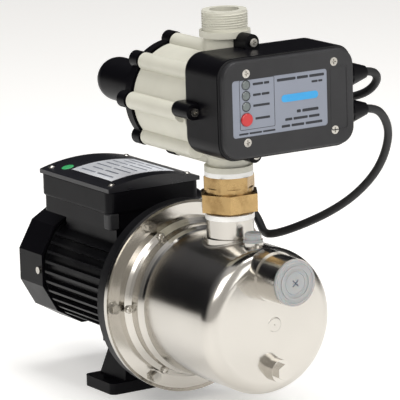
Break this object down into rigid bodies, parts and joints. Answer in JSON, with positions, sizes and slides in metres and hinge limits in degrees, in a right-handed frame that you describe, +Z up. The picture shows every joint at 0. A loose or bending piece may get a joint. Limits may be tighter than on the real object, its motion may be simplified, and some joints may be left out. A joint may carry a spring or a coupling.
{
  "type": "shallow well jet pump",
  "caption": "Self-priming jet pump: finned motor, stainless casing with front suction port, union and electronic pressure controller on the outlet, motor cable and mains lead.",
  "frame": {"origin": "on the floor, in the middle of the two bolt holes of the foot", "axes": "+X along the shaft towards the suction port, +Z up out of the outlet, +Y towards the side with the cable glands"},
  "size_m": [0.4175, 0.39, 0.393],
  "materials": {
    "black_enamel": "satin",
    "black_plastic": "matte",
    "lid_plastic": "gloss",
    "panel_plastic": "satin",
    "cream_plastic": "satin",
    "stainless": "polished",
    "steel": "machined",
    "zinc_steel": "zinc plated",
    "brass": "cast and turned",
    "cast_aluminium": "black enamel",
    "copper": "enamelled wire",
    "rubber": "matte",
    "white_plastic": "translucent white",
    "tape_white": "sealing tape",
    "engineering_plastic": "matte",
    "carbon": "lapped",
    "red_plastic": "gloss",
    "lens_grey": "gloss",
    "label_film": "printed film",
    "board": "solder mask",
    "cable_rubber": "satin"
  },
  "bodies": {
    "pump_unit": {"motor_housing": "black_enamel", "stator_core": "steel", "stator_windings": "copper", "bearing_outer_rings": "steel", "front_bracket": "cast_aluminium", "rear_end_shield": "cast_aluminium", "fan_cover": "black_plastic", "motor_screws": "zinc_steel", "foot": "black_plastic", "terminal_box": "black_plastic", "terminal_lid": "lid_plastic", "capacitor": "white_plastic", "terminal_block": "white_plastic", "terminal_gland": "black_plastic", "pump_casing": "stainless", "outlet_stub": "stainless", "suction_nozzle": "stainless", "casing_bosses": "stainless", "casing_backplate": "stainless", "casing_o_ring": "rubber", "flange_bolts": "zinc_steel", "seal_seat": "carbon", "diffuser": "engineering_plastic", "ejector": "engineering_plastic", "tape_rings": "tape_white", "union_tailpiece": "brass", "union_nut": "brass", "gaskets": "rubber", "union_top": "brass", "controller_body": "cream_plastic", "diaphragm": "rubber", "rear_cover": "black_plastic", "controller_screws": "zinc_steel", "pressure_spring": "steel", "valve_guide": "engineering_plastic", "valve_spring": "steel", "control_box": "black_plastic", "front_panel": "panel_plastic", "control_label": "label_film", "indicator_lenses": "lens_grey", "circuit_board": "board", "controller_glands": "black_plastic", "motor_cable": "cable_rubber", "mains_lead": "cable_rubber", "mains_coil": "cable_rubber", "mains_plug": "rubber", "plug_pins": "brass"},
    "rotor": {"shaft": "steel", "rotor_core": "steel", "bearing_inner_rings": "steel", "cooling_fan": "black_plastic", "impeller": "engineering_plastic", "impeller_nut": "stainless", "seal_rotating_ring": "carbon"},
    "restart_button": {"restart_button": "red_plastic"},
    "check_valve": {"check_valve_poppet": "engineering_plastic"},
    "priming_plug": {"priming_plug": "white_plastic"},
    "drain_plug": {"drain_plug": "stainless"},
    "suction_cap": {"suction_cap": "white_plastic"}
  },
  "joints": [
    {"name": "shaft_spin", "type": "hinge", "parent": "pump_unit", "child": "rotor", "pos_m": [0, 0, 0.105], "axis": [1, 0, 0], "continuous": true},
    {"name": "restart_press", "type": "slide", "parent": "pump_unit", "child": "restart_button", "axis": [-1, 0, 0], "range_m": [0, 0.0015], "stiffness_N_per_m": 600, "springref_m": -0.001},
    {"name": "check_valve_lift", "type": "slide", "parent": "pump_unit", "child": "check_valve", "axis": [0, 0, 1], "range_m": [0, 0.009], "stiffness_N_per_m": 40, "springref_m": -0.005, "deforming": ["valve_spring"]},
    {"name": "priming_plug_pull", "type": "slide", "parent": "pump_unit", "child": "priming_plug", "axis": [0, 0, 1], "range_m": [0, 0.04]},
    {"name": "drain_plug_pull", "type": "slide", "parent": "pump_unit", "child": "drain_plug", "axis": [1, 0, 0], "range_m": [0, 0.04]},
    {"name": "suction_cap_pull", "type": "slide", "parent": "pump_unit", "child": "suction_cap", "axis": [1, 0, 0], "range_m": [0, 0.06]}
  ]
}
